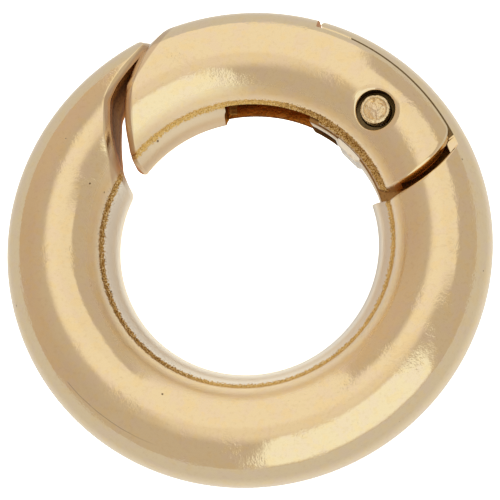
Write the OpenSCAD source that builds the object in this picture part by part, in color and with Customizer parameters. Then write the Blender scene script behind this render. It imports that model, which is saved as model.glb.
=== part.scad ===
// Round spring gate ring: a ring of round section with a gate that swings inward about a pin.
// The ring lies flat on its back. +X points right and +Y up as one looks down on its front.
// The origin is on the surface below the ring's centre, and the mid-plane lies at wire_r.

/* [Ring] */
// Outer diameter of the closed ring
ring_d = 18; // [17.5:0.1:18.5]
// Radius of the ring's round section
wire_r = 1.85; // [1.83:0.01:1.87]
// Radius of the narrow belt that lines the hole
belt_r = 0.78; // [0.75:0.01:0.81]
// How far the belt stands out of the round section, into the hole
belt_out = 0.48; // [0.44:0.01:0.52]

/* [Hinge] */
// Direction of the pin from the ring's centre, in degrees from +X
pin_angle = 45; // [44:0.5:46]
// Distance of the pin's axis from the ring's centre
pin_path_r = 6.75; // [6.7:0.01:6.8]
// Diameter of the pin
pin_d = 1.1; // [1:0.02:1.16]
// Gap between the pin and the bores of the gate's cheeks, on the radius
pin_gap = 0.03; // [0.02:0.01:0.06]
// How far the pin's domed ends lie below the ring's surface
pin_sunk = 0.04; // [0.02:0.01:0.1]
// Diameter of the dark recess round each pin end
recess_d = 1.49; // [1.42:0.01:1.54]
// Height of the recess's floor above the mid-plane
recess_floor = 1; // [0.9:0.02:1.3]
// Radius of the gate's round heel about the pin
heel_r = 2.9; // [2.86:0.01:2.94]
// Gap between the heel and the hollow shoulder of the body
heel_gap = 0.3; // [0.25:0.01:0.34]

/* [Tongue] */
// Thickness of the tongue between the gate's cheeks
tongue_t = 1.1; // [1:0.02:1.2]
// Thickness of the tongue's outer rim, seen as a crescent beside the gate
rim_t = 2.36; // [2.3:0.02:2.38]
// Distance of the rim's inner wall from the ring's centre
rim_in_r = 8.15; // [8.12:0.01:8.2]
// Distance of the tongue's inner edge from the ring's centre, inside the slot of the gate
tongue_in_r = 5.08; // [5:0.01:5.2]
// Gap between each side of the tongue and the cheek beside it
side_gap = 0.06; // [0.04:0.01:0.08]

/* [Gate] */
// How far the gate swings inward, in degrees
swing = 40; // [30:1:40]
// Place of the slot's closed end, along X
slot_end_x = -0.95; // [-1.1:0.01:-0.8]
// Place of the outer web's end, beside the tip of the tongue, along X
web_end_x = 2.5; // [2.4:0.02:2.52]
// Distance of the spring channel's roof from the ring's centre
roof_r = 7.35; // [7.2:0.01:7.5]

/* [Hidden] */
$fn = 144;
gold = [0.87, 0.73, 0.47];
wire_c = ring_d / 2 - wire_r;
belt_c = ring_d / 2 - 2 * wire_r - belt_out + belt_r;
pin_x = pin_path_r * cos(pin_angle);
pin_y = pin_path_r * sin(pin_angle);
shoulder_r = heel_r + heel_gap;
// Directions about the pin between which the tongue's rim stands when the ring is closed
rim_from = -31;
rim_to = 60;
// Half the side of a square that holds the whole ring
reach = ring_d;
// Ring size for which the two end outlines below are drawn
drawn_d = 18;

// Outline of the body's end, from outside the ring to its hole: a rounded lip, then a hollow V
body_end = [
    [-5.2, 8.6], [-4.35, 8.14], [-3.95, 7.98], [-3.73, 7.76], [-3.66, 7.5],
    [-4.48, 6.44], [-4.82, 5.9], [-5.05, 5.3], [-4.88, 3.3], [-4.47, 1.95], [-3, 0]
];

// Outline of the gate's end, from outside the ring to its hole: a blunt V with a cut-off inner corner
gate_end = [
    [-2.4, 9.53], [-4.47, 5.95], [-4.43, 3.6], [-4.3, 3.2], [-4.03, 2.97], [-2, 1.4]
];

// Outline of the tongue's root, which lies inside the body behind the hollow shoulder
tongue_root = [[2.4, 0.2], [reach, 1.1], [reach, reach]];

// Outline of the tongue's tip, from outside the ring to its hole: rounded tip, waist and toe
tongue_tip = [
    [3.3, 9.4], [2.95, 8.6], [2.74, 8.45], [2.64, 8.25], [3, 7.4], [3, 5.6], [2.4, 5.5],
    [2.18, 5.3], [2.14, 5], [2.3, 4.3]
];

module section() {
    translate([wire_c, 0]) circle(r = wire_r);
    translate([belt_c, 0]) circle(r = belt_r);
}

module whole_ring() {
    rotate_extrude() section();
}

// A plate of thickness t on both sides of the mid-plane
module plate(t) {
    linear_extrude(height = t, center = true) children();
}

module at_pin() {
    translate([pin_x, pin_y]) children();
}

// Everything right of an end outline, as far as the pin's own direction
module sector_plan(end_line) {
    polygon(concat(
        end_line * ring_d / drawn_d,
        [[0, 0], [reach * cos(pin_angle), reach * sin(pin_angle)], [0, reach]]
    ));
}

// The opening of the body: from its end to the hollow shoulder round the hinge
module opening_plan() {
    sector_plan(body_end);
    at_pin() circle(r = shoulder_r);
}

// The gate: from its end to its heel
module gate_plan() {
    sector_plan(gate_end);
    at_pin() circle(r = heel_r);
}

// The tongue: from its tip into the body behind the shoulder
module tongue_plan() {
    polygon(concat(tongue_tip * ring_d / drawn_d, tongue_root));
}

// The ring's outer part, beyond radius r
module beyond(r) {
    difference() {
        circle(r = reach);
        circle(r = r);
    }
}

// What the rim sweeps beside the pin when the gate swings, seen from the gate
module rim_sweep_plan() {
    from = rim_from - swing;
    intersection() {
        at_pin() difference() {
            circle(r = heel_r + heel_gap / 2);
            circle(r = rim_in_r - pin_path_r - side_gap);
        }
        at_pin() polygon([
            [0, 0],
            reach * [cos(from), sin(from)],
            reach * [cos(from / 2), sin(from / 2)],
            reach * [1, 0],
            reach * [cos(rim_to), sin(rim_to)]
        ]);
    }
}

// Right of the outer web's end, where the tongue lies
module tongue_room_plan() {
    translate([web_end_x, -reach]) square([reach, 2 * reach]);
}

// The long channel for the return spring, behind the slot in the belt
module channel_plan() {
    intersection() {
        circle(r = roof_r);
        translate([slot_end_x, 0]) square([reach, reach]);
    }
}

module tongue() {
    intersection() {
        whole_ring();
        union() {
            plate(tongue_t) intersection() {
                tongue_plan();
                beyond(tongue_in_r);
            }
            plate(rim_t) intersection() {
                tongue_plan();
                beyond(rim_in_r);
            }
        }
    }
}

module gate_pocket() {
    plate(tongue_t + 2 * side_gap) {
        tongue_room_plan();
        channel_plan();
    }
    plate(rim_t + 2 * side_gap) intersection() {
        tongue_room_plan();
        union() {
            beyond(rim_in_r - side_gap);
            rim_sweep_plan();
        }
    }
}

module ring_body() {
    color(gold) translate([0, 0, wire_r]) difference() {
        union() {
            difference() {
                whole_ring();
                plate(4 * wire_r) opening_plan();
            }
            tongue();
        }
        at_pin() cylinder(r = pin_d / 2, h = 4 * wire_r, center = true);
    }
}

module hinge_pin() {
    color(gold) translate([0, 0, wire_r]) intersection() {
        rotate_extrude() translate([wire_c, 0]) circle(r = wire_r - pin_sunk);
        at_pin() cylinder(r = pin_d / 2, h = 4 * wire_r, center = true);
    }
}

module gate() {
    color(gold) translate([0, 0, wire_r]) difference() {
        intersection() {
            whole_ring();
            plate(4 * wire_r) gate_plan();
        }
        gate_pocket();
        at_pin() cylinder(r = pin_d / 2 + pin_gap, h = 4 * wire_r, center = true);
        for (side = [-1, 1]) {
            at_pin() translate([0, 0, side * (recess_floor + wire_r)])
                cylinder(r = recess_d / 2, h = 2 * wire_r, center = true);
        }
    }
}

ring_body();
hinge_pin();
gate();
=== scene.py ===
import bmesh
import bpy
import numpy as np
from mathutils import Matrix, Vector


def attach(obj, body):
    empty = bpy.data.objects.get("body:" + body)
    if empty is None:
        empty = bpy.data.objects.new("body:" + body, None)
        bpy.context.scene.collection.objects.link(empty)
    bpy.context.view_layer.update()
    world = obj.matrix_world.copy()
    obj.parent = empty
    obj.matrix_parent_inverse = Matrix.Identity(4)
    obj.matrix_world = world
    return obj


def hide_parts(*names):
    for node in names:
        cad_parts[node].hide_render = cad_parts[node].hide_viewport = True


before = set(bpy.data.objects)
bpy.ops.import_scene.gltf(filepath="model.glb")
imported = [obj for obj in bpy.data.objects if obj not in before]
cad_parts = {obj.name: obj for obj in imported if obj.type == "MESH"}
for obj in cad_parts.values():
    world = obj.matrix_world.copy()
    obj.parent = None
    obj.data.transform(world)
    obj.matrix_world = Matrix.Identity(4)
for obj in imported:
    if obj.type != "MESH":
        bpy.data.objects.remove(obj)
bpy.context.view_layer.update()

# Ring body: a thick ring of round section, open between its mouth and its hinge shoulder, with the
# flat tongue that carries the gate. It is cast in brass in one piece, tumbled until its edges are
# soft, polished and plated with pale gold. The belt that lines its hole meets it in a crease.
MM = 0.001
# Lengths are in millimetres from here on. MID is the height of the ring's mid-plane.
MID = 1.85
THROUGH = 2.5
WIRE_PATH = 7.148
WIRE_R = 1.842
FLAT_FROM = np.radians(135)
FLAT_R = 2.3
BELT_CENTRE = (5.72, -0.22)
BELT_R = 0.98
NOSE_R = 0.35
CREASE_FILLET = 0.09
PIN_ANGLE = np.radians(45)
PIN_PATH = 6.75
PIN_XY = PIN_PATH * np.array([np.cos(PIN_ANGLE), np.sin(PIN_ANGLE)])
SHOULDER_R = 3.2
SHOULDER_EDGE = 0.07
MOUTH_EDGE = 0.24
END_ROUND = 0.2
MOUTH_LINE = [
    (-5.2, 8.6), (-4.35, 8.14), (-3.95, 7.98), (-3.73, 7.76), (-3.66, 7.5),
    (-4.48, 6.44), (-4.82, 5.9), (-5.05, 5.3), (-4.88, 3.3), (-4.34, 2.12), (-3.75, 0.7),
]
TONGUE_HALF = 0.55
TONGUE_IN_R = 5.1
TONGUE_EDGE = 0.07
TONGUE_ROUND = 0.25
RIM_HALF = 1.18
RIM_IN_R = 8.15
RIM_OUT_R = 8.56
SEAM_R = 8.35
GAP_R = 2.93
TONGUE_SOFT = 0.04
TONGUE_ROOT = np.radians(8)
TONGUE_LINE = [
    (3.3, 9.4), (2.95, 8.6), (2.74, 8.45), (2.64, 8.25), (3, 7.4), (3, 5.6), (2.4, 5.5),
    (2.18, 5.3), (2.1, 5), (2.2, 4.72), (2.5, 4.3),
]
TOE_LINE = [
    (3.24, 4.05), (3.3, 3.76), (3.44, 3.6), (3.78, 3.27), (3.93, 3.12), (4.1, 3.1), (4.6, 3.6),
    (3.7, 4.5),
]
TOE_ROUND = 0.12
GROOVE_LINE = [(3.16, 3.95), (3.5, 4.4), (2.6, 5.2), (1.9, 5.6), (1.9, 4.2), (2.7, 3.7)]
GROOVE_HALF = 0.42
BODY_BORE_R = 0.56
UNDER = 0.004
SHARP = np.radians(28)


def rounded(corners, reach, steps=8):
    """A line through the corners with each inner one eased by a quadratic Bezier curve.
    The curve leaves the line `reach` before the corner, or 0.45 of its shorter side."""
    line = np.asarray(corners, float)
    step = np.diff(line, axis=0)
    size = np.linalg.norm(step, axis=1)
    way = step / size[:, None]
    cut = np.minimum(reach, 0.45 * np.minimum(size[:-1], size[1:]))[:, None]
    ahead, corner, past = line[1:-1] - cut * way[:-1], line[1:-1], line[1:-1] + cut * way[1:]
    u = np.linspace(0, 1, steps + 1)[None, :, None]
    bend = (1 - u) ** 2 * ahead[:, None] + 2 * u * (1 - u) * corner[:, None] + u**2 * past[:, None]
    return np.concatenate([line[:1], bend.reshape(-1, 2), line[-1:]])


def set_back(line, back):
    """The line moved sideways: P + back * n, where n is its direction turned left."""
    way = np.gradient(line, axis=0)
    way /= np.linalg.norm(way, axis=1)[:, None]
    return line + back * np.stack([-way[:, 1], way[:, 0]], axis=1)


def along_line(line, side):
    """The angle at which a line on the plan crosses a circle of radius r, as a function of r and
    of how far the line is set back into the metal, which lies on the given side of it. Between
    the line's points the angle runs evenly with r, so a long stretch of it is slightly curved.
    Two lines are followed, one of them set back by `deep`, and the angle is taken in proportion."""
    deep = 0.3

    def crossing(r, moved):
        far = np.hypot(moved[:, 0], moved[:, 1])
        order = np.argsort(far)
        return np.interp(r, far[order], np.arctan2(moved[order, 1], moved[order, 0]))

    def angle(r, back):
        share = back / deep
        return (1 - share) * crossing(r, line) + share * crossing(r, set_back(line, side * deep))

    return angle


def round_pin(radius, side):
    """The angle at which the circle about the pin crosses a circle of radius r about the ring:
    cos(pin angle - a) = (r^2 + p^2 - R^2) / 2rp, with R = radius + side * back."""

    def angle(r, back):
        big = radius + side * back
        return PIN_ANGLE - np.arccos((r**2 + PIN_PATH**2 - big**2) / (2 * r * PIN_PATH))

    return angle


def ring_section(inset):
    """Half of the ring's section (r, z), from its outermost to its innermost point, set `inset`
    below the surface: an arc of the wire, a flatter arc that leaves it smoothly, a fillet in the
    crease, a flat arc of the belt and its nose. The fillet's centre is where circles of radius
    R + fillet about the centres of the flatter arc and of the belt cross."""
    arc, share = SECTION_ARC, SECTION_SHARE
    inset = inset + 0 * share
    flat_r = WIRE_PATH + (WIRE_R - FLAT_R) * np.cos(FLAT_FROM)
    flat_z = (WIRE_R - FLAT_R) * np.sin(FLAT_FROM)
    wire, flat, belt, nose = WIRE_R - inset, FLAT_R - inset, BELT_R - inset, NOSE_R - inset
    gap = np.array(BELT_CENTRE) - (flat_r, flat_z)
    apart = np.hypot(*gap)
    far, near = flat + CREASE_FILLET, belt + CREASE_FILLET
    along = (far**2 - near**2 + apart**2) / (2 * apart)
    aside = np.sqrt(far**2 - along**2)
    fillet_r = flat_r + (along * gap[0] + aside * gap[1]) / apart
    fillet_z = flat_z + (along * gap[1] - aside * gap[0]) / apart
    nose_r = BELT_CENTRE[0] - np.sqrt((BELT_R - NOSE_R) ** 2 - BELT_CENTRE[1] ** 2)
    top = np.arctan2(fillet_z - flat_z, fillet_r - flat_r)
    low = np.arctan2(fillet_z - BELT_CENTRE[1], fillet_r - BELT_CENTRE[0])
    end = np.arctan2(-BELT_CENTRE[1], nose_r - BELT_CENTRE[0])
    a, b = share * FLAT_FROM, FLAT_FROM + share * (top - FLAT_FROM)
    c, d = top + share * (low - top) + np.pi, low + share * (end - low)
    e = end + share * (np.pi - end)
    circles = (
        (WIRE_PATH, 0, wire, a), (flat_r, flat_z, flat, b), (fillet_r, fillet_z, CREASE_FILLET, c),
        (*BELT_CENTRE, belt, d), (nose_r, 0, nose, e),
    )
    r = np.choose(arc, [centre + size * np.cos(turn) for centre, _, size, turn in circles])
    z = np.choose(arc, [centre + size * np.sin(turn) for _, centre, size, turn in circles])
    return r, z


# For each point of the section: the arc that it lies on, its share of that arc, and the width of
# the ends' bevels there against the full width.
SECTION_STEPS = [(0, 61), (1, 17), (2, 4), (3, 21), (4, 9)]
SECTION_ARC = np.concatenate([np.full(n, k) for k, n in SECTION_STEPS])
SECTION_SHARE = np.concatenate([
    (np.arange(n) + (k > 0)) / (n - (k == 0)) for k, n in SECTION_STEPS
])
BEVEL_SHARE = np.choose(SECTION_ARC, [1, 1, 0.8, 0.75 - 0.45 * SECTION_SHARE, 0.3])


def plain_section(corners):
    """A half section that is the same at every inset."""
    r, z = np.asarray(corners, float).T
    return lambda inset: (r, z)


def edge(width, soft=0.03):
    """The steps of a bevel, from the surface over to the end face: pairs of how far the end line
    is set back and how far the section is inset, along a chamfer with eased corners."""
    reach = width + 2 * soft
    return rounded([(reach, 0), (width, 0), (0, width), (0, reach)], 1.6 * soft, 4)


def carried(section, start, end, start_edge, end_edge, steps, share=1.0):
    """A closed body: the section, mirrored in the mid-plane, is carried round the ring's axis,
    (x, y, z) = (r cos a, r sin a, z), with a from start(r) to end(r) in even steps. The bevels'
    rows follow at both ends, as wide as `share` says at each point of the section, and upright
    lines between the two halves close the end faces."""
    rows = []
    for side, steps_of_edge in ((start, start_edge[::-1]), (end, end_edge)):
        part = []
        for back, inset in steps_of_edge:
            r, z = section(inset * share)
            part.append((r, z, side(r, back * share)))
        rows.append(part)
    head, tail = rows
    r, z, first = head[-1]
    last = tail[0][2]
    part = np.linspace(0, 1, steps + 1)[1:-1, None]
    between = [(r, z, turn) for turn in first + part * (last - first)]
    grid = np.array(head + between + tail)
    r, z, turn = grid[:, 0], grid[:, 1], grid[:, 2]
    up = np.concatenate([z, -z[:, ::-1]], axis=1)
    r = np.concatenate([r, r[:, ::-1]], axis=1)
    turn = np.concatenate([turn, turn[:, ::-1]], axis=1)
    skin = np.stack([r * np.cos(turn), r * np.sin(turn), up + MID], axis=-1)
    half = z.shape[1]
    caps = []
    for row in (0, -1):
        upper, lower = skin[row, :half], skin[row, : half - 1 : -1]
        k = np.linspace(0, 1, 17)[:, None, None]
        caps.append(upper * (1 - k) + lower * k)
    return [np.concatenate([skin, skin[:, :1]], axis=1)], caps


def shell(name, skins, inner=()):
    """One closed mesh from grids of points in millimetres. Each cell is two triangles, points
    that coincide are merged, and the faces are turned outwards. Inner grids take the material
    slots after the first, one each."""
    grids = [*skins, *inner]
    points = np.concatenate([p.reshape(-1, 3) for p in grids])
    faces, slots, first = [], [], 0
    for k, p in enumerate(grids):
        n = first + np.arange(p.shape[0] * p.shape[1]).reshape(p.shape[:2])
        a, b, c, d = n[:-1, :-1], n[1:, :-1], n[1:, 1:], n[:-1, 1:]
        faces += [np.stack(t, axis=-1).reshape(-1, 3) for t in ((a, b, c), (a, c, d))]
        slots.append(np.full(2 * a.size, max(k - len(skins) + 1, 0)))
        first += n.size
    faces, slots = np.concatenate(faces), np.concatenate(slots)
    same = np.round(points / 1e-5)
    _, keep, where = np.unique(same, axis=0, return_index=True, return_inverse=True)
    faces = where.reshape(-1)[faces]
    whole = (faces != np.roll(faces, 1, axis=1)).all(axis=1)
    faces, slots = faces[whole], slots[whole]
    mesh = bpy.data.meshes.new(name)
    mesh.from_pydata(points[keep] * MM, [], faces)
    mesh.polygons.foreach_set("material_index", slots)
    sort = bmesh.new()
    sort.from_mesh(mesh)
    bmesh.ops.recalc_face_normals(sort, faces=sort.faces)
    sort.to_mesh(mesh)
    sort.free()
    piece = bpy.data.objects.new(name, mesh)
    bpy.context.collection.objects.link(piece)
    return piece


def joined(piece, other, how, finish=None):
    """The piece after a union with the other or a cut by it. A cut leaves its own finish on the
    faces that it makes. The other is used up."""
    if finish:
        other.data.materials.append(finish)
        other.data.polygons.foreach_set("material_index", np.zeros(len(other.data.polygons), int))
    step = piece.modifiers.new(how, "BOOLEAN")
    step.operation, step.object, step.solver = how, other, "MANIFOLD"
    step.material_mode = "TRANSFER"
    graph = bpy.context.evaluated_depsgraph_get()
    mesh = bpy.data.meshes.new_from_object(piece.evaluated_get(graph))
    piece.modifiers.clear()
    old, piece.data = piece.data, mesh
    bpy.data.meshes.remove(old)
    bpy.data.meshes.remove(other.data)
    return piece


def post(radius, low=-THROUGH, high=THROUGH):
    """A round post about the pin's axis, between two heights above the mid-plane."""
    turn = np.linspace(0, 2 * np.pi, 129)
    size = np.array([0, radius, radius, 0])[:, None]
    up = np.array([low, low, high, high])[:, None]
    x, y = PIN_XY[0] + size * np.cos(turn), PIN_XY[1] + size * np.sin(turn)
    return [np.stack([x, y, np.broadcast_to(up + MID, x.shape)], axis=-1)]


def finished(piece, body, node):
    """Soft shading with crisp edges, and the piece's place in the frame."""
    piece.data.shade_smooth()
    piece.data.set_sharp_from_angle(angle=SHARP)
    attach(piece, body)
    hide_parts(node)


class Finish:
    """A value in a material's nodes. An expression on such values adds its Math nodes."""

    def __init__(self, tree, socket=None):
        self.tree, self.socket = tree, socket

    def node(self, kind, settings=None, sockets=None, out=0):
        """A node of any type: its settings first, then the values or links of its sockets. It
        gives the output numbered `out`, or several of them for several numbers."""
        made = self.tree.nodes.new(kind)
        for name, value in (settings or {}).items():
            setattr(made, name, value)
        for name, value in (sockets or {}).items():
            if isinstance(value, Finish):
                self.tree.links.new(value.socket, made.inputs[name])
            else:
                made.inputs[name].default_value = value
        if isinstance(out, tuple):
            return [Finish(self.tree, made.outputs[k]) for k in out]
        return Finish(self.tree, made.outputs[out] if len(made.outputs) else None)

    def math(self, operation, *values):
        return self.node("ShaderNodeMath", {"operation": operation}, dict(enumerate(values)))

    def __add__(self, other):
        return self.math("ADD", self, other)

    def __sub__(self, other):
        return self.math("SUBTRACT", self, other)

    def __rsub__(self, other):
        return self.math("SUBTRACT", other, self)

    def __mul__(self, other):
        return self.math("MULTIPLY", self, other)

    def __truediv__(self, other):
        return self.math("DIVIDE", self, other)

    def __pow__(self, other):
        return self.math("POWER", self, other)

    def __abs__(self):
        return self.math("ABSOLUTE", self)

    __radd__, __rmul__ = __add__, __mul__

    def ease(self, low, high):
        """0 below low and 1 above high, with a smooth step between. It falls if low > high."""
        if low > high:
            return 1 - self.ease(high, low)
        return self.node(
            "ShaderNodeMapRange",
            {"interpolation_type": "SMOOTHSTEP"},
            {"Value": self, "From Min": low, "From Max": high},
        )

    def most(self, other):
        """The greater of two values."""
        return self.math("MAXIMUM", self, other)

    def least(self, other):
        """The smaller of two values."""
        return self.math("MINIMUM", self, other)

    def waves(self, scale, detail=2.0):
        """Soft random waves over this place, about 0, mostly within 0.25 of it."""
        return self.node(
            "ShaderNodeTexNoise", sockets={"Vector": self, "Scale": scale, "Detail": detail}
        ) - 0.5

    def tint(self, colour, share):
        """This colour with the given share of another."""
        kind = {"data_type": "RGBA"}
        return self.node("ShaderNodeMix", kind, {0: share, 6: self, 7: (*colour, 1)}, out=2)


def new_material(name):
    """An empty material, and its nodes to build in."""
    made = bpy.data.materials.new(name)
    made.use_nodes = True
    made.node_tree.nodes.clear()
    return made, Finish(made.node_tree)


def on_the_ring(finish):
    """The place on the piece in millimetres, its x, y and height above the mid-plane, and its
    distance r from the ring's axis."""
    place = finish.node("ShaderNodeTexCoord", out=3)
    mm = finish.node("ShaderNodeVectorMath", {"operation": "SCALE"}, {0: place, "Scale": 1 / MM})
    x, y, z = finish.node("ShaderNodeSeparateXYZ", sockets={0: mm}, out=(0, 1, 2))
    return mm, x, y, z - MID, (x * x + y * y) ** 0.5


def plain_colour(finish, colour):
    """The same colour everywhere."""
    base = finish.node("ShaderNodeRGB")
    base.socket.default_value = (*colour, 1)
    return base


GOLD = (0.93, 0.775, 0.53)
ROSY = (0.92, 0.755, 0.56)
PEACH = (0.95, 0.76, 0.46)
BLUSH = (0.84, 0.66, 0.42)
SATIN_GOLD = (0.97, 0.93, 0.88)
PALE_GOLD = (0.99, 0.97, 0.95)
CREASE_GOLD = (0.86, 0.58, 0.19)
CREASE_BROWN = (0.30, 0.13, 0.025)
CREASE_SPARK = (0.95, 0.80, 0.52)
BEVEL_BROWN = (0.58, 0.40, 0.27)
SPECK = (0.16, 0.09, 0.03)
BROWN_GLEAM = (0.45, 0.22, 0.08, 1)
CREASE_AT = (5.425, 0.715)
SHADED_SIDE = np.radians(200)
HINGE_SIDE = np.radians(48)
POLISH_R = 8.34
MARKED_R = 0.42
GROOVE_R = 0.43
MOUTH_CORNER = MOUTH_LINE[7]


def from_mouth(x, y):
    """How far a place lies behind the two long edges of the body's mouth, which meet in its
    corner. Away from the mouth it is 1 or more."""
    x_on, y_on = x - MOUTH_CORNER[0], y - MOUTH_CORNER[1]
    upper = y_on * 0.534 - x_on * 0.846
    lower = x_on * -0.996 - y_on * 0.085
    return upper.most(lower).most(x.ease(-3.6, -3.2)).most(y.ease(2.2, 1.5))


def towards(x, y, r, direction):
    """The cosine of the angle about the ring's axis between a place and a direction."""
    return (x * np.cos(direction) + y * np.sin(direction)) / r


def gold_plating(name, from_end=None, belt=SATIN_GOLD, blows=0.0):
    """Pale gold under a clear lacquer. In millimetres, with d = distance to the crease's circle in
    the section: a bright skin with soft waves from the tumbling that are stronger in patches,
    small pits and scratches, a line left by the polishing wheel, a satin belt inside r = 5.38, a
    dull skin where d < 0.9, and a rough gold-brown crease where d < 0.13, widest by the hinge.
    Painted shade darkens the crease and its specks on the side towards 200 degrees and by the
    hinge, and the belt is painted paler on the side towards -y, a painted sheen. The bevel of an
    end, within 0.24 of its edge, is painted browner, a painted reflection of dim surroundings.
    Blows add a hammer's marks and a groove round them."""
    made, finish = new_material(name)
    mm, x, y, z, r = on_the_ring(finish)
    patch = mm.waves(0.55, 1).ease(0.02, 0.12)
    ripple = mm.waves(7, 3)
    grit = mm.waves(19, 2)
    near = ((r - CREASE_AT[0]) ** 2 + (abs(z) - CREASE_AT[1]) ** 2) ** 0.5
    # Painted shade: the crease, and the dark specks beside it, are darker on the side towards 200
    # degrees and by the hinge.
    hinge = towards(x, y, r, HINGE_SIDE).ease(0.8, 0.97)
    shaded_side = towards(x, y, r, SHADED_SIDE).ease(0.5, 0.85).most(hinge * 0.7)
    crease = (near + mm.waves(15, 4) * 0.3 - hinge * 0.06).ease(0.15, 0.105)
    satin = r.ease(5.44, 5.32)
    unreached = near.ease(0.5, 0.2)
    across, along = x / r, y / r
    dull = near.ease(1.15, 0.6).most(near.ease(1.5, 0.9) * along.ease(-0.3, -0.8))
    specks = near.ease(0.34, 0.1) * grit.ease(0.08, 0.15) * (shaded_side * 0.8 + 0.2)
    dust = mm.waves(23, 1).ease(0.25, 0.3)
    cells = finish.node(
        "ShaderNodeTexVoronoi", sockets={"Vector": mm, "Scale": 0.9, "Randomness": 1}
    )
    pit = (cells + grit * 0.03).ease(0.042, 0.026)
    wheel = abs(r - POLISH_R + mm.waves(1.5, 1) * 0.03).ease(0.025, 0.008) * z.ease(0.7, 0.9)
    wheel = wheel * across.ease(-0.3, -0.6) * along.ease(-0.3, -0.5)
    wheel = wheel * mm.waves(0.7, 2).ease(-0.02, 0.06)
    squeezed = finish.node("ShaderNodeMapping", sockets={0: mm, 3: (11, 26, 11)})
    scratch = squeezed.waves(1, 1).ease(0.325, 0.345)
    height = (
        mm.waves(0.9, 1) * 0.014 + ripple * (0.0022 + patch * 0.009 + blows * 0.09)
        + grit * (0.0009 + patch * 0.0035 + crease * 0.05) - pit * 0.02 - wheel * 0.005
    )
    bump = finish.node("ShaderNodeBump", sockets={"Strength": 1, "Distance": MM, "Height": height})
    colour = plain_colour(finish, GOLD).tint(ROSY, mm.waves(1.6, 3).ease(-0.05, 0.12))
    colour = colour.tint(PEACH, mm.waves(2.1, 3).ease(0, 0.14) * 0.7)
    colour = colour.tint(BLUSH, mm.waves(7, 4).ease(0, 0.2) * 0.35)
    colour = colour.tint(SATIN_GOLD, unreached * along.ease(-0.8, -0.3) * 0.3)
    colour = colour.tint(belt, satin * 0.9)
    # Painted sheen: the belt is painted near white on the side towards -y.
    colour = colour.tint(PALE_GOLD, satin * along.ease(-0.1, -0.8) * 0.85)
    colour = colour.tint(CREASE_GOLD, crease * 0.9)
    # Painted shade darkens the crease towards 200 degrees and by the hinge, with random grit on
    # top.
    dark = shaded_side * (grit.ease(-0.02, 0.1) * 0.5 + 0.5) + grit.ease(0.02, 0.1) * 0.3
    colour = colour.tint(CREASE_BROWN, crease * dark)
    colour = colour.tint(CREASE_SPARK, crease * grit.ease(-0.08, -0.14) * 0.8)
    rough = 0.075 + (dull * 0.9).most(satin) * 0.3 + ripple * 0.06
    if from_end:
        # Painted reflection: the bevel is painted browner, for the dim brown-grey light that it
        # reflects; it is also rougher.
        bevel = from_end(x, y).ease(0.27, 0.2) * r.ease(5.4, 5.6)
        colour = colour.tint(BEVEL_BROWN, bevel * 0.65)
        rough = rough + bevel * 0.1
    flaws = (specks * 0.7).most(pit * 0.9).most(dust * 0.35).most(wheel * 0.4)
    flaws = flaws.most(scratch * 0.5)
    if blows:
        rho = ((x - PIN_XY[0]) ** 2 + (y - PIN_XY[1]) ** 2) ** 0.5
        dents = abs(mm.waves(3.5, 1)).ease(0.018, 0.004) * mm.waves(2.3, 1).ease(-0.02, 0.05)
        flaws = flaws.most(dents * rho.ease(MARKED_R, 0.36) * 0.7)
        flaws = flaws.most(abs(rho - GROOVE_R).ease(0.03, 0.01) * 0.35)
    skin = finish.node(
        "ShaderNodeBsdfPrincipled",
        sockets={
            "Base Color": colour.tint(SPECK, flaws),
            "Metallic": 1,
            "Roughness": rough,
            "Normal": bump,
            "Coat Weight": 0.6 - crease * 0.6,
            "Coat Roughness": 0.08,
        },
    )
    finish.node("ShaderNodeOutputMaterial", sockets={"Surface": skin})
    return made


def shaded_plating(name, rim_tone, tone, deep, rough, rim=0.55, metal=1.0):
    """The same metal where polishing can't reach: rough and uneven, with a brown gleam, and browner
    tones by depth that are painted light and shade, as light falls off into gaps and hollows. It
    takes the rim's tone down to the depth `rim` and the deep tone far below it, with depth = the
    wire's radius less the distance from the wire's centre line, in millimetres. Where dirt lies
    on the metal, `metal` is below 1."""
    made, finish = new_material(name)
    mm, _, _, z, r = on_the_ring(finish)
    stain = mm.waves(2.2, 4)
    grit = mm.waves(12, 3)
    depth = WIRE_R - ((r - WIRE_PATH) ** 2 + z * z) ** 0.5 + stain * 0.35
    # Painted light and shade: the tone changes with depth into the metal, as the light falls off
    # into the gap.
    colour = plain_colour(finish, tone).tint(rim_tone, depth.ease(rim, rim - 0.25))
    colour = colour.tint(deep, depth.ease(rim + 0.15, rim + 0.55) * 0.85)
    colour = colour.tint(SPECK, grit.ease(0.02, 0.2) * 0.6)
    height = grit * 0.006 + stain * 0.02
    bump = finish.node("ShaderNodeBump", sockets={"Strength": 1, "Distance": MM, "Height": height})
    skin = finish.node(
        "ShaderNodeBsdfPrincipled",
        sockets={
            "Base Color": colour,
            "Metallic": metal,
            "Roughness": rough + grit * 0.3,
            "Specular Tint": BROWN_GLEAM,
            "Normal": bump,
        },
    )
    finish.node("ShaderNodeOutputMaterial", sockets={"Surface": skin})
    return made


plated = gold_plating("gold plating", from_mouth)
# The end faces of the mouth and of the gate's front: an orange rim over dark brown, grey-brown
# deeper in, painted light and shade down into the gap.
end_face = shaded_plating(
    "shaded end plating", (0.84, 0.42, 0.10), (0.42, 0.26, 0.09), (0.74, 0.55, 0.26),
    rough=0.35, rim=0.8, metal=0.7,
)
# Walls of the gaps, pockets and bores: saturated orange tones, the painted glow and shade of the
# light inside the gaps.
recessed = shaded_plating(
    "gap plating", (0.95, 0.50, 0.12), (0.88, 0.37, 0.05), (0.74, 0.29, 0.03),
    rough=0.3, metal=0.5,
)
# The tongue's flats and its groove: dark brown, painted shade between the cheeks.
shaded = shaded_plating(
    "tarnished flats", (0.36, 0.19, 0.07), (0.30, 0.13, 0.03), (0.30, 0.12, 0.02), rough=0.4
)
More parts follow.
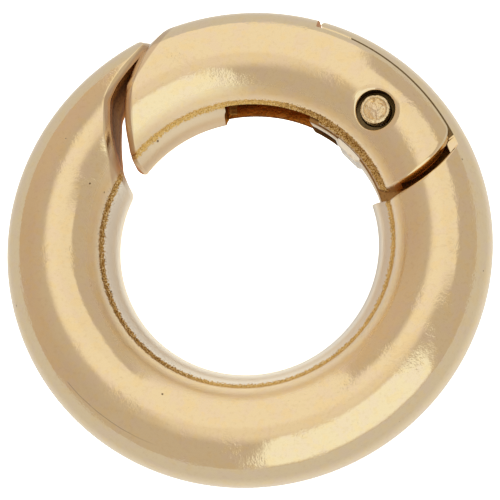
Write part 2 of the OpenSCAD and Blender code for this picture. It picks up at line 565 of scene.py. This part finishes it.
# Near black: painted shade in the narrow gap under the gate's outer edge and in the pin's bore and
# recess, where it also stands for dirt.
shade_and_grime = shaded_plating(
    "shade_and_grime", (0.20, 0.15, 0.08), (0.12, 0.08, 0.03), (0.06, 0.04, 0.02), rough=0.5
)
SQUARE = [(0, 0), (0, 0)]

mouth = along_line(rounded(MOUTH_LINE, END_ROUND), -1)
shoulder = round_pin(SHOULDER_R, 1)


def to_shoulder(r, back):
    """The shoulder's line, a full turn on, because the body goes the long way round to it."""
    return shoulder(r, back) + 2 * np.pi


body = shell(
    "ring_body_casting",
    *carried(
        ring_section, mouth, to_shoulder, edge(MOUTH_EDGE), edge(SHOULDER_EDGE),
        steps=360, share=BEVEL_SHARE,
    ),
)
for finish in (plated, end_face, recessed):
    body.data.materials.append(finish)

whole = np.column_stack(ring_section(UNDER))
tongue_outline = np.concatenate([
    whole[(whole[:, 1] < RIM_HALF) & (whole[:, 0] > WIRE_PATH)],
    rounded([
        (RIM_OUT_R, RIM_HALF), (RIM_IN_R, RIM_HALF), (RIM_IN_R, TONGUE_HALF),
        (TONGUE_IN_R + TONGUE_EDGE, TONGUE_HALF), (TONGUE_IN_R, TONGUE_HALF - TONGUE_EDGE),
        (TONGUE_IN_R, 0),
    ], TONGUE_SOFT),
])


def straight(angle):
    """An end along one direction from the ring's axis."""
    return lambda r, back: angle + 0 * r


tip = along_line(rounded(TONGUE_LINE, TONGUE_ROUND), 1)
tongue = shell(
    "tongue",
    *carried(
        plain_section(tongue_outline), straight(TONGUE_ROOT), tip, SQUARE, SQUARE, steps=120
    ),
)
# The tongue's flats are painted dark brown, as shade between the cheeks, and near black under the
# gate's outer edge, as painted shade of the narrow gap there. Where its rim shows in the gap
# behind the heel, it is bright.
for finish in (plated, shaded, shade_and_grime):
    tongue.data.materials.append(finish)
flats = np.array([abs(face.normal.z) > 0.9 for face in tongue.data.polygons])
middles = np.array([face.center[:2] for face in tongue.data.polygons]) / MM
far = np.hypot(*middles.T)
in_gap = (far > RIM_IN_R) & (np.hypot(*(middles - PIN_XY).T) > GAP_R)
tongue.data.polygons.foreach_set("material_index", flats * (1 + (far > SEAM_R)) * ~in_gap)


def prism(outline, half, soft=0.0):
    """A straight-sided block on both sides of the mid-plane, from an outline on the plan that is
    walked anticlockwise. Its upper and lower edges are bevelled by `soft`."""
    around = np.asarray(outline, float)
    middle = around.mean(axis=0)
    loop = np.concatenate([around, around[:1]])
    ends = loop + soft * (middle - loop) / np.linalg.norm(middle - loop, axis=1)[:, None]
    rings = [middle + 0 * loop, ends, loop, loop, ends, middle + 0 * loop]
    ups = [-half, -half, soft - half, half - soft, half, half]
    rows = [np.column_stack([ring, np.full(len(ring), up + MID)]) for ring, up in zip(rings, ups)]
    return [np.stack(rows)]


toe = shell("toe", prism(rounded(TOE_LINE, TOE_ROUND, 5), TONGUE_HALF, TONGUE_EDGE))
toe.data.materials.append(plated)
groove = shell("groove", prism(GROOVE_LINE, GROOVE_HALF))
tongue = joined(joined(tongue, toe, "UNION"), groove, "DIFFERENCE", shaded)
body = joined(body, tongue, "UNION")
body = joined(body, shell("bore", post(BODY_BORE_R)), "DIFFERENCE", recessed)
finished(body, "ring", "ring_body")

# Gate: the short arm that closes the ring, with a blunt V end, a round heel and two cheeks that
# straddle the tongue. A slot in its belt and a channel behind it take the return spring. It is
# cast in brass, tumbled and plated like the body, and turns on the pin.
HEEL_R = 2.9
HEEL_EDGE = 0.18
HEEL_WEAR = 0.42
HEEL_OUT_R = 8.55
HEEL_IN_R = 5.02
HEEL_CORNERS = (0.28, 0.52)
FRONT_EDGE = 0.24
BELT_BACK = 0.06
FRONT_LINE = [(-2.4, 9.53), (-4.47, 5.95), (-4.43, 3.6), (-4.3, 3.2), (-4.03, 2.97), (-2, 1.4)]
FRONT_CORNER = FRONT_LINE[1]
FRONT_X = -4.45
POCKET_HALF = 0.61
RIM_POCKET_HALF = 1.26
RIM_POCKET_R = 8.09
WEB_END_X = 2.5
ROOM_FROM, ROOM_TO = 2, 9.5
BEYOND = 11
SWEEP_R = (1.34, 3.05)
SWEEP_FROM, SWEEP_TO = -71, 60
SLOT_HALF = 0.6
SLOT_CORNER = 0.3
SLOT_END_X = -0.95
GLEAM_X = -0.61
SLOT_TO_X = 2.8
SLOT_FROM_Y = 3.0
ROOF_Y = 6.9
GLEAM_ROOF_Y = 6.6
LIP_SECTION = [(5.8, 0), (5.8, 0.54), (5.3, 0.65), (4.5, 0.65), (4.5, 0)]
LIP_UP = 0.04
LIP_FROM, LIP_TO = np.radians(61), np.radians(100)
BORE_R = 0.58
RECESS_R = 0.735
RECESS_FLOOR = 1.3
DIMPLE_R = 0.95
DIMPLE_SLOPE = 0.28
FALL_R = 0.8
FALL = 10
DEEP_SATIN = (0.76, 0.61, 0.46)


def heel(r, back):
    """The round heel, with both corners of its outline rounded: the line draws back by
    c (1 - sqrt(1 - s^2)), where s runs from 0 to 1 over the last c millimetres at each end."""
    drawn = 0
    for corner, left in zip(HEEL_CORNERS, (HEEL_OUT_R - r, r - HEEL_IN_R)):
        drawn = drawn + corner * (1 - np.sqrt(1 - np.clip(1 - left / corner, 0, 1) ** 2))
    return round_pin(HEEL_R, -1)(r, back) + drawn / r


def gate_section(inset):
    """The ring's section with a thinner belt: its nose stands back by BELT_BACK."""
    r, z = ring_section(inset)
    return r + BELT_BACK * np.clip((5.4 - r) / 0.5, 0, 1), z


def worn_edge(width, depth):
    """The steps of an edge rounded by long wear, in the same pairs: a quarter of an ellipse, with
    set-back = width (1 - sin t) and inset = depth (1 - cos t)."""
    t = np.linspace(0, np.pi / 2, 13)
    return np.stack([width * (1 - np.sin(t)), depth * (1 - np.cos(t))], axis=1)


def arc(centre, radius, start, end):
    """Points on a circle between two directions given in degrees."""
    turn = np.radians(np.linspace(start, end, 49))
    return np.array(centre) + radius * np.stack([np.cos(turn), np.sin(turn)], axis=1)


def milled(outline, start, end):
    """A block along Y from an outline in x and z, as a milling cutter leaves it."""
    loop = np.concatenate([outline, outline[:1]])
    middle = np.broadcast_to(outline.mean(axis=0), loop.shape)
    rows = []
    for flat, y in ((middle, start), (loop, start), (loop, end), (middle, end)):
        rows.append(np.column_stack([flat[:, 0], np.full(len(flat), y), flat[:, 1] + MID]))
    return [np.stack(rows)]


def dimple(side):
    """A cutter for the dished ring round a pin end. Its underside lies below the wire's surface by
    slope (R - rho) + fall max(fall_R - rho, 0)^2, with rho from the pin's axis."""
    rho = np.array([0, 0.6, 0.7, 0.74, 0.76, 0.78, FALL_R, 0.85, 0.9, DIMPLE_R, 1.02])[:, None]
    turn = np.linspace(0, 2 * np.pi, 129)
    x, y = PIN_XY[0] + rho * np.cos(turn), PIN_XY[1] + rho * np.sin(turn)
    surface = np.sqrt(WIRE_R**2 - (np.hypot(x, y) - WIRE_PATH) ** 2)
    up = surface - DIMPLE_SLOPE * (DIMPLE_R - rho) - FALL * np.clip(FALL_R - rho, 0, 0.1) ** 2
    up = np.concatenate([up, np.full((2, len(turn)), THROUGH)])
    x, y = np.concatenate([x, x[[-1, 0]]]), np.concatenate([y, y[[-1, 0]]])
    return [np.stack([x, y, MID + side * up], axis=-1)]


def from_front(x, y):
    """How far a place lies behind the two long edges of the gate's front, which meet in its
    corner."""
    upper = (x - FRONT_CORNER[0]) * 0.866 - (y - FRONT_CORNER[1]) * 0.5
    return upper.least(x - FRONT_X)


def slot_outline(left, right, corner):
    """The milled slot's outline in x and z, with the corners of its left end rounded."""
    sides = [(right, SLOT_HALF), (left, SLOT_HALF), (left, -SLOT_HALF), (right, -SLOT_HALF)]
    return rounded(sides, corner)


gate = shell(
    "gate_casting",
    *carried(
        gate_section, heel, along_line(rounded(FRONT_LINE, END_ROUND), 1),
        worn_edge(HEEL_EDGE, HEEL_WEAR), edge(FRONT_EDGE), steps=200, share=BEVEL_SHARE,
    ),
)
gate_plated = gold_plating("gate gold plating", from_front, belt=DEEP_SATIN)
for finish in (gate_plated, recessed, end_face):
    gate.data.materials.append(finish)
# The slot's end wall and the channel behind it: brown and dark orange tones, painted shade inside
# the slot.
channel = shaded_plating(
    "channel", (0.80, 0.60, 0.35), (0.50, 0.18, 0.025), (0.36, 0.12, 0.012),
    rough=0.3, rim=-0.08,
)
slot_end = shaded_plating(
    "slot end", (0.62, 0.36, 0.10), (0.46, 0.23, 0.045), (0.36, 0.17, 0.03), rough=0.35
)
room = [(WEB_END_X, ROOM_FROM), (ROOM_TO, ROOM_FROM), (ROOM_TO, ROOM_TO), (WEB_END_X, ROOM_TO)]
web, past_web = (np.degrees(np.arccos(WEB_END_X / radius)) for radius in (RIM_POCKET_R, BEYOND))
rim = np.concatenate([arc((0, 0), RIM_POCKET_R, web, 0), arc((0, 0), BEYOND, 0, past_web)])
sweep = np.concatenate([
    arc(PIN_XY, SWEEP_R[0], SWEEP_FROM, SWEEP_TO), arc(PIN_XY, SWEEP_R[1], SWEEP_TO, SWEEP_FROM),
])
for skins, finish in (
    (prism(room, POCKET_HALF), recessed),
    (milled(slot_outline(SLOT_END_X, GLEAM_X, SLOT_CORNER), SLOT_FROM_Y, GLEAM_ROOF_Y), slot_end),
    (milled(slot_outline(GLEAM_X - 0.01, SLOT_TO_X, 0), SLOT_FROM_Y, ROOF_Y), channel),
    (prism(rim, RIM_POCKET_HALF), recessed),
    (prism(sweep, RIM_POCKET_HALF), recessed),
):
    gate = joined(gate, shell("pocket", skins), "DIFFERENCE", finish)
lips = carried(
    plain_section(LIP_SECTION), straight(LIP_FROM), straight(LIP_TO), SQUARE, SQUARE, steps=150
)
for grid in (*lips[0], *lips[1]):
    grid[..., 2] += LIP_UP
gate = joined(gate, shell("lips", *lips), "DIFFERENCE", channel)
gate = joined(gate, shell("bore", post(BORE_R)), "DIFFERENCE", shade_and_grime)
for side in (1, -1):
    gate = joined(gate, shell("dimple", dimple(side)), "DIFFERENCE", plated)
    low, high = sorted((side * RECESS_FLOOR, side * THROUGH))
    gate = joined(gate, shell("recess", post(RECESS_R, low, high)), "DIFFERENCE", shade_and_grime)
finished(gate, "gate", "gate")

# Hinge pin: a length of round brass wire through cheeks and tongue, riveted at both ends with a
# hammer, so its faces are dented and its rims rolled over. It is plated with the rest.
PIN_R = 0.55
PIN_TOP = 1.77
PIN_ROLL = 0.09
PIN_DISH = 0.03
BLOWS = [(0.22, 35, 0.01), (0.16, 130, 0.03), (0.36, 215, 0.02), (0.14, 290, 0), (0.30, 340, 0)]


def pin_face(side):
    """One hammered end on a polar grid. Inside the rolled rim the face is dished, and each blow
    (lean, way in degrees, level) leaves a flat, up = -lean * (distance along its way) - level, of
    which the lowest counts."""
    rho = np.concatenate([
        np.linspace(0, PIN_R - PIN_ROLL, 25),
        PIN_R - PIN_ROLL * (1 - np.sin(np.linspace(0, 1, 9)[1:] * np.pi / 2)),
    ])
    turn = np.linspace(0, 2 * np.pi, 145)
    rho, turn = np.meshgrid(rho, turn, indexing="ij")
    out = np.clip((rho - PIN_R + PIN_ROLL) / PIN_ROLL, 0, 1)
    up = PIN_TOP - PIN_ROLL * (1 - np.sqrt(np.clip(1 - out**2, 0, 1)))
    blows = []
    for lean, way, level in BLOWS:
        blows.append(lean * rho * np.cos(turn - np.radians(side * way)) + level)
    inside = np.clip((GROOVE_R - rho) / 0.06, 0, 1)
    up -= (PIN_DISH + np.max(blows, axis=0)) * inside * inside * (3 - 2 * inside)
    x, y = PIN_XY[0] + rho * np.cos(turn), PIN_XY[1] + rho * np.sin(turn)
    return np.stack([x, y, MID + side * up], axis=-1)


top, foot = pin_face(1), pin_face(-1)
pin = shell("hinge_pin_rivet", [top, foot, np.stack([top[-1], foot[-1]])])
pin.data.materials.append(gold_plating("hammered gold plating", blows=1.0))
finished(pin, "ring", "hinge_pin")

# Studio: a white table that curves up behind, a light tent and a camera with a long lens, at the
# angle from which the ring was photographed.
TILT = np.radians(16.5)
TURN = np.radians(25)
FRAME_WIDTH = 18.39 * MM
FRAME_PIXELS = 500
AIM_PIXELS = (0.5, -1.0)
FAR_OFF = 0.3
SENSOR = 36
BASE_LIGHT, FRONT_LIGHT, BACK_LIGHT, OVER_LIGHT, DIMMING = 0.565, 0.40, 0.345, 0.27, 0.05

across = np.array([np.cos(TURN), np.sin(TURN)])
upward = np.array([-np.sin(TURN), np.cos(TURN)])
right = np.array([*across, 0])
up = np.array([*(upward * np.cos(TILT)), np.sin(TILT)])
to_camera = np.array([*(-np.sin(TILT) * upward), np.cos(TILT)])
image_right = right * across[0] + up * upward[0]
image_up = right * across[1] + up * upward[1]
aim = AIM_PIXELS[0] * image_right + AIM_PIXELS[1] * image_up
target = np.array([0, 0, MID * MM]) + aim * FRAME_WIDTH / FRAME_PIXELS
lens = bpy.data.cameras.new("camera")
lens.lens = SENSOR * FAR_OFF / FRAME_WIDTH
lens.sensor_width = SENSOR
lens.clip_start = 0.01
camera = bpy.data.objects.new("camera", lens)
axes = Matrix((image_right, image_up, to_camera)).transposed().to_4x4()
camera.matrix_world = Matrix.Translation(Vector(target + FAR_OFF * to_camera)) @ axes
bpy.context.collection.objects.link(camera)
bpy.context.scene.camera = camera
bpy.context.scene.view_settings.view_transform = "Standard"


def table(name, radius, rise, glow, shade, height=0.0):
    """A round table top whose edge curves up: height + rise * ((rho - flat) / (radius - flat))^2
    with flat = 0.3 radius, in metres. It glows more near the ring, most in the lower left of its
    hole and least in the upper right."""
    rho = np.linspace(0, 1, 41)[:, None] * radius
    turn = np.linspace(0, 2 * np.pi, 65)[None, :]
    lift = rise * np.clip((rho - 0.3 * radius) / (0.7 * radius), 0, 1) ** 2 + height + 0 * turn
    top = shell(name, [np.stack([rho * np.cos(turn), rho * np.sin(turn), lift], axis=-1) / MM])
    top.data.shade_smooth()
    made, finish = new_material(name)
    cloth = finish.node("ShaderNodeBsdfDiffuse", sockets={"Color": (shade, shade, shade, 1)})
    _, x, y, _, r = on_the_ring(finish)
    slant = x * 0.9 + y * 0.4
    away = r.ease(5, 4.2) * slant.ease(-1.5, 2.5)
    lit = plain_colour(finish, (1, 1, 1)).tint((2, 1.98, 1.9), r.ease(13, 8) * (1 - away))
    lit = lit.tint((2.6, 2.4, 1.9), r.ease(4.8, 4.2) * slant.ease(1.5, -1.5))
    light = finish.node("ShaderNodeEmission", sockets={"Color": lit, "Strength": glow})
    both = finish.node("ShaderNodeAddShader", sockets={0: cloth, 1: light})
    finish.node("ShaderNodeOutputMaterial", sockets={"Surface": both})
    top.data.materials.append(made)
    return top


# The camera sees one table, and the ring's metal sees the other, which is less bright.
seen = table("table_seen", 1.5, 1.2, glow=0.9, shade=0.8)
seen.visible_glossy = seen.visible_diffuse = seen.visible_shadow = False
bounce = table("table_bounce", 0.5, 0.0, glow=0.24, shade=0.55, height=-0.02 * MM)
bounce.visible_camera = False

# The tent's light by direction: azimuth from +X and height above the table, in degrees, and (u, v)
# where a ray meets the tent's ceiling, in units of its height. There are a window in front, a
# strip behind, a panel above and the lighter top of the tent.
world = bpy.data.worlds.new("tent")
bpy.context.scene.world = world
world.use_nodes = True
world.node_tree.nodes.clear()
tent = Finish(world.node_tree)
way = tent.node("ShaderNodeTexCoord", out=0)
x, y, z = tent.node("ShaderNodeSeparateXYZ", sockets={0: way}, out=(0, 1, 2))
azimuth = tent.math("ARCTAN2", y, x) * (180 / np.pi)
height = tent.math("ARCSINE", z) * (180 / np.pi)
front = (azimuth - height * 0.18).ease(-26, -30) * azimuth.ease(-94, -91)
front = front * height.ease(74, 66) * height.ease(-2, 8)
strip = abs(azimuth - 97).ease(28, 23) * height.ease(84, 76)
steep = z.most(0.05)
u, v = x / steep, y / steep
panel = u.ease(-0.5, -0.2) * u.ease(0.95, 0.8) * v.ease(0.02, 0.2) * v.ease(1.35, 1.05)
flank = abs(u).ease(0.18, 0.45) * abs(v).ease(0.3, 0.12)
back = strip.most(panel * 0.9) * (1 - front)
over = height.ease(55, 80) * (1 - front) * (1 - back) * (1 - flank * 0.8)
dim = abs(abs(azimuth) - 175).ease(40, 10) * height.ease(60, 30)
amount = BASE_LIGHT + front * FRONT_LIGHT + back * BACK_LIGHT + over * OVER_LIGHT - dim * DIMMING
colour = plain_colour(tent, (1, 0.86, 0.69)).tint((1, 0.895, 0.71), over)
warm = (y * 0.4 - x * 0.92).ease(0.45, 0.85)
colour = colour.tint((1.085, 0.87, 0.66), warm).tint((1, 0.92, 0.75), back)
colour = colour.tint((1, 1, 0.87), front)
sky = tent.node("ShaderNodeBackground", sockets={"Color": colour, "Strength": amount})
tent.node("ShaderNodeOutputWorld", sockets={"Surface": sky})
